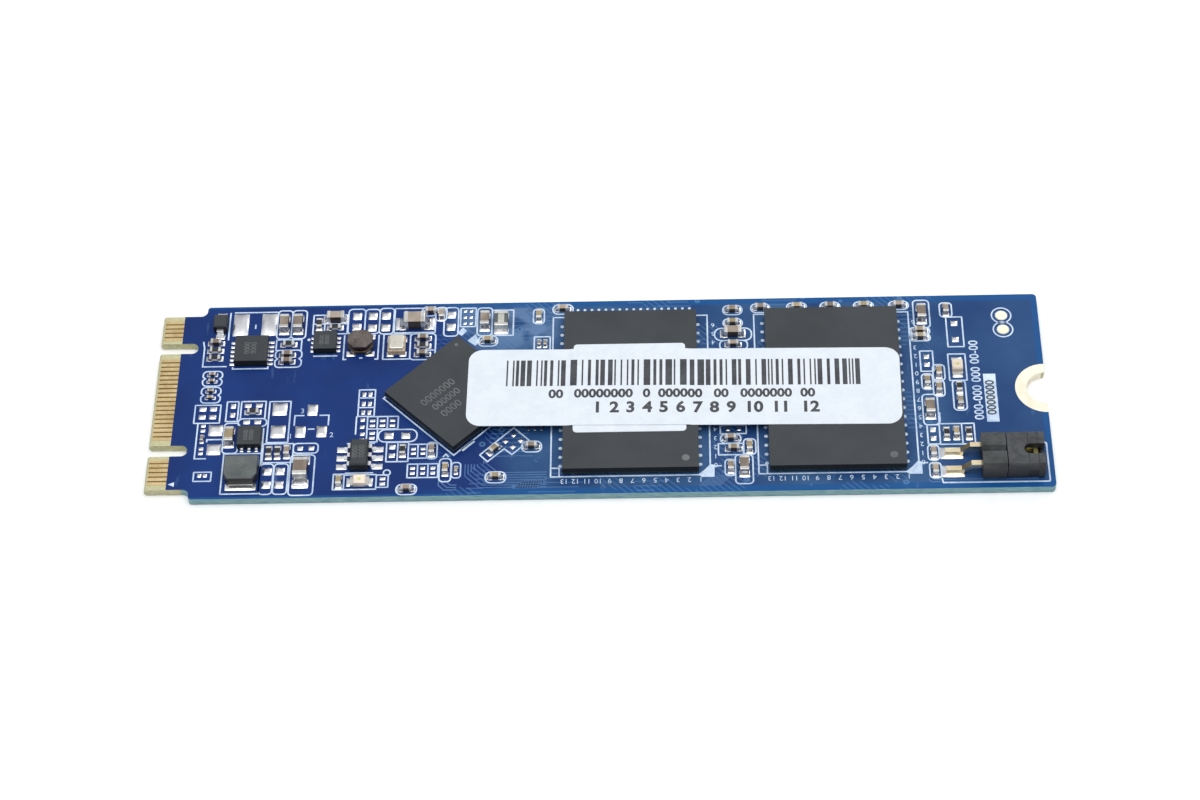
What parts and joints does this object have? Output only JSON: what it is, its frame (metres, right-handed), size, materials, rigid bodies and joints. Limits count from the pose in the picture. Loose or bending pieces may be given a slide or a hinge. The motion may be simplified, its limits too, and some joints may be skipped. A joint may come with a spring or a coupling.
{
  "type": "solid state drive",
  "caption": "Bare-board solid state drive card with edge contacts, key slots, screw notch, chips, paper label and a pull-off jumper on a pin header.",
  "frame": {"origin": "middle of the card's underside", "axes": "+X from the contact fingers to the screw notch, +Y across the card, +Z out of the fitted side"},
  "size_m": [0.08, 0.022, 0.0028],
  "materials": {
    "laminate": "woven glass and epoxy, cut edge",
    "solder_mask": "blue liquid photo-imaged mask, satin gloss",
    "contact_gold": "thin gold over nickel",
    "tinned_copper": "hot-air levelled tin",
    "solder": "reflowed solder",
    "package_substrate": "dark green resin",
    "mould_compound": "dark grey moulded epoxy",
    "silicon": "ground silicon",
    "lead_tin": "matte tin plating",
    "chip_terminal": "matte tin plating",
    "capacitor_ceramic": "fired tan dielectric",
    "alumina": "white alumina",
    "resistor_glaze": "black overcoat",
    "ferrite": "pressed ferrite, dull",
    "copper_winding": "enamelled copper wire",
    "crystal_ceramic": "fired ceramic",
    "crystal_metal": "plated lid",
    "lamp_base": "white resin board",
    "lamp_lens": "cloudy epoxy lens",
    "header_plastic": "glass-filled black plastic",
    "pin_gold": "thin gold plating",
    "jumper_plastic": "black moulded plastic",
    "spring_bronze": "phosphor bronze strip",
    "label_paper": "coated white paper"
  },
  "bodies": {
    "card": {"board_laminate": "laminate", "capacitor_bodies_0201": "capacitor_ceramic", "capacitor_bodies_0402": "capacitor_ceramic", "capacitor_bodies_0603": "capacitor_ceramic", "capacitor_bodies_0805": "capacitor_ceramic", "capacitor_terminals_0201": "chip_terminal", "capacitor_terminals_0402": "chip_terminal", "capacitor_terminals_0603": "chip_terminal", "capacitor_terminals_0805": "chip_terminal", "component_pads": "tinned_copper", "controller_die": "silicon", "controller_mould_cap": "mould_compound", "controller_solder_balls": "solder", "controller_substrate": "package_substrate", "converter_bodies": "mould_compound", "converter_leads": "lead_tin", "crystal_base": "crystal_ceramic", "crystal_lid": "crystal_metal", "diode_body": "mould_compound", "diode_leads": "lead_tin", "drum_inductor_core": "ferrite", "drum_inductor_terminals": "chip_terminal", "drum_inductor_winding": "copper_winding", "edge_fingers_bottom": "contact_gold", "edge_fingers_top": "contact_gold", "empty_pads": "tinned_copper", "ferrite_bead_body": "ferrite", "ferrite_bead_terminals": "chip_terminal", "header_insulator": "header_plastic", "header_pins": "pin_gold", "label_long": "label_paper", "label_square": "label_paper", "lamp_bases": "lamp_base", "lamp_lenses": "lamp_lens", "lamp_terminals": "chip_terminal", "load_switch_body": "mould_compound", "load_switch_leads": "lead_tin", "memory_1_dies": "silicon", "memory_1_mould_cap": "mould_compound", "memory_1_solder_balls": "solder", "memory_1_substrate": "package_substrate", "memory_2_dies": "silicon", "memory_2_mould_cap": "mould_compound", "memory_2_solder_balls": "solder", "memory_2_substrate": "package_substrate", "power_inductor_coil": "copper_winding", "power_inductor_core": "ferrite", "power_inductor_terminals": "chip_terminal", "regulator_body": "mould_compound", "regulator_leads": "lead_tin", "resistor_bodies": "alumina", "resistor_coats": "resistor_glaze", "resistor_terminals": "chip_terminal", "screw_notch_ring": "contact_gold", "solder_mask_bottom": "solder_mask", "solder_mask_top": "solder_mask"},
    "jumper": {"jumper_housing": "jumper_plastic", "jumper_contact": "spring_bronze"}
  },
  "joints": [
    {"name": "jumper_pull", "type": "slide", "parent": "card", "child": "jumper", "axis": [1, 0, 0], "range_m": [0, 0.005]}
  ]
}
